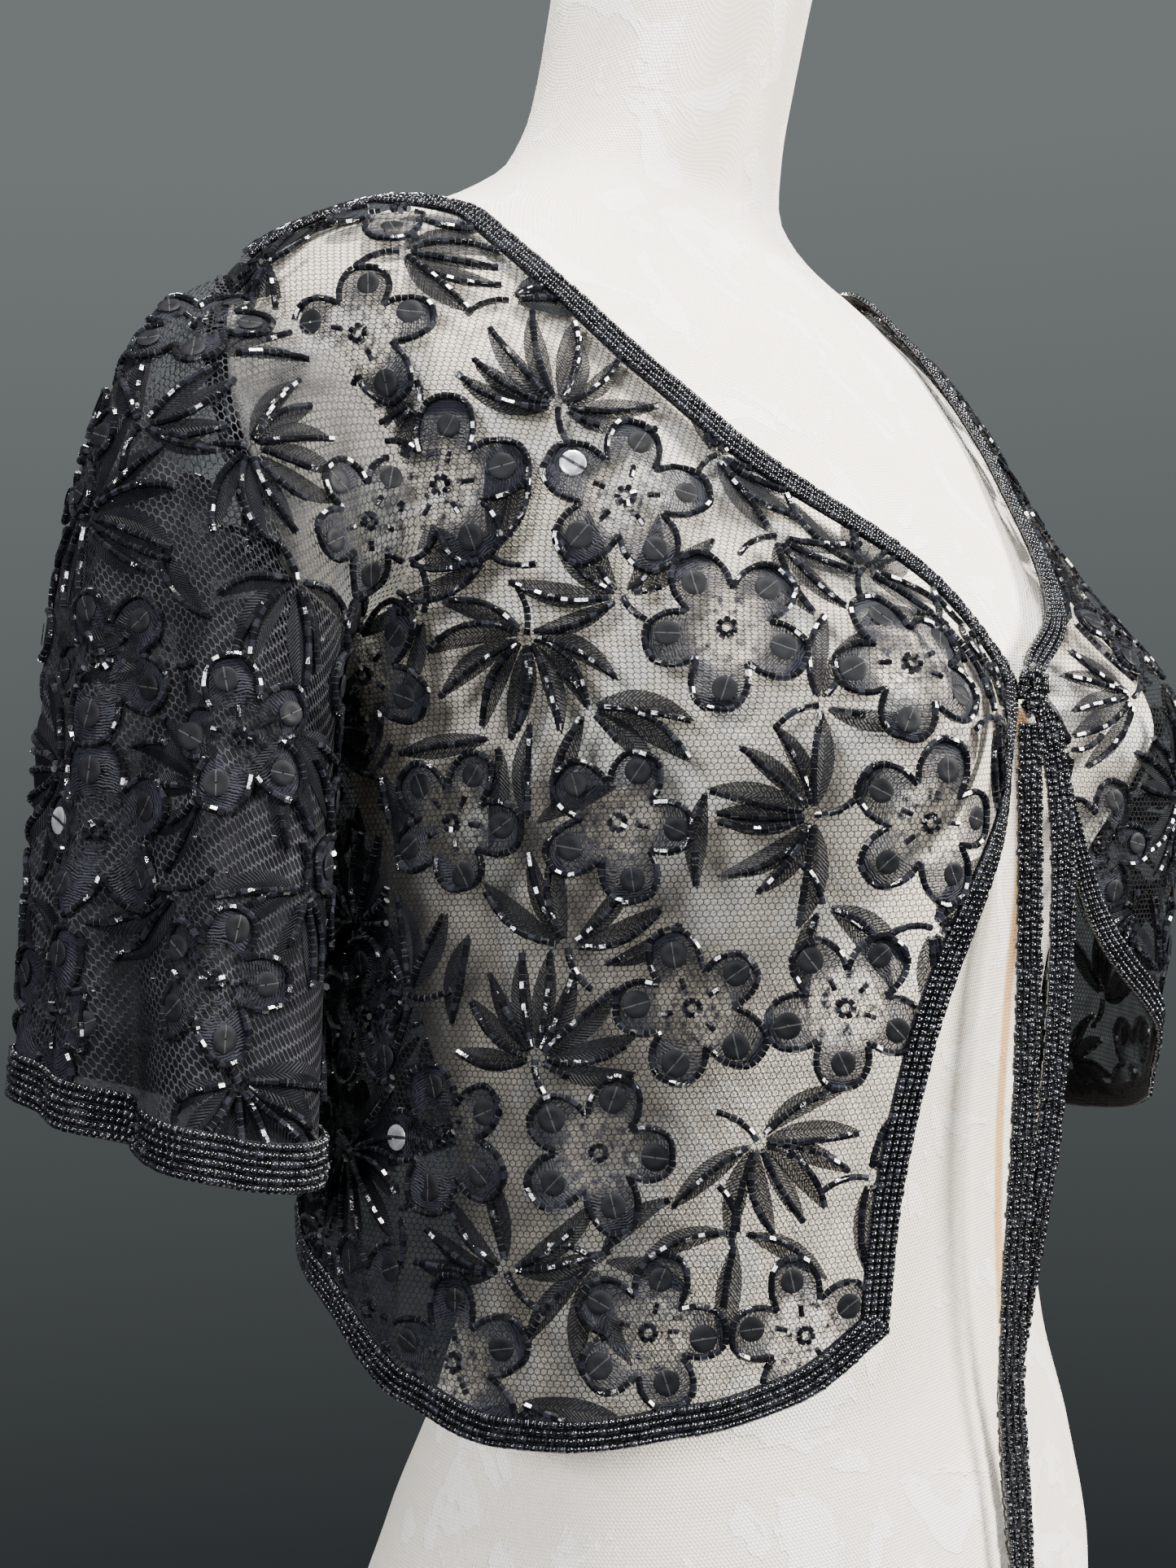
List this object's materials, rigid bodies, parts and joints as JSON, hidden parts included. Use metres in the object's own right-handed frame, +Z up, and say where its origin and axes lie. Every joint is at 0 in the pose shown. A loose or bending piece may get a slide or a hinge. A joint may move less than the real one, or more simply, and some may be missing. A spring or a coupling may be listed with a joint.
{
  "type": "beaded lace shrug on a dress form",
  "caption": "Cropped open-front beaded lace shrug with flared sleeves, rounded cutaway fronts, a bust closure and hanging ties, on a limbless cloth-covered dress form.",
  "frame": {"origin": "on the dress form's flat base, straight below the middle of the waist", "axes": "+Z up the form; -Y is the wearer's front; -X is the wearer's right"},
  "size_m": [0.5586, 0.2818, 0.771],
  "materials": {
    "beaded_lace": "black net lace with charcoal petals and leaves, glass beads and dark sequins",
    "glass_beads": "opaque glossy black glass beads, sewn in close rows",
    "form_cover": "cream stretch lace pulled smooth over the form"
  },
  "bodies": {
    "root": {"dress_form": "form_cover", "back_panel": "beaded_lace", "front_right": "beaded_lace", "front_left": "beaded_lace", "sleeve_right": "beaded_lace", "sleeve_left": "beaded_lace", "back_neck_band": "glass_beads", "hem_band_back": "glass_beads", "front_band_right": "glass_beads", "front_band_left": "glass_beads", "hem_band_right": "glass_beads", "hem_band_left": "glass_beads", "shoulder_band_right": "glass_beads", "shoulder_band_left": "glass_beads", "sleeve_band_right": "glass_beads", "sleeve_band_left": "glass_beads", "closure_knot": "glass_beads", "tie_right": "glass_beads", "tie_left": "glass_beads"}
  },
  "joints": []
}
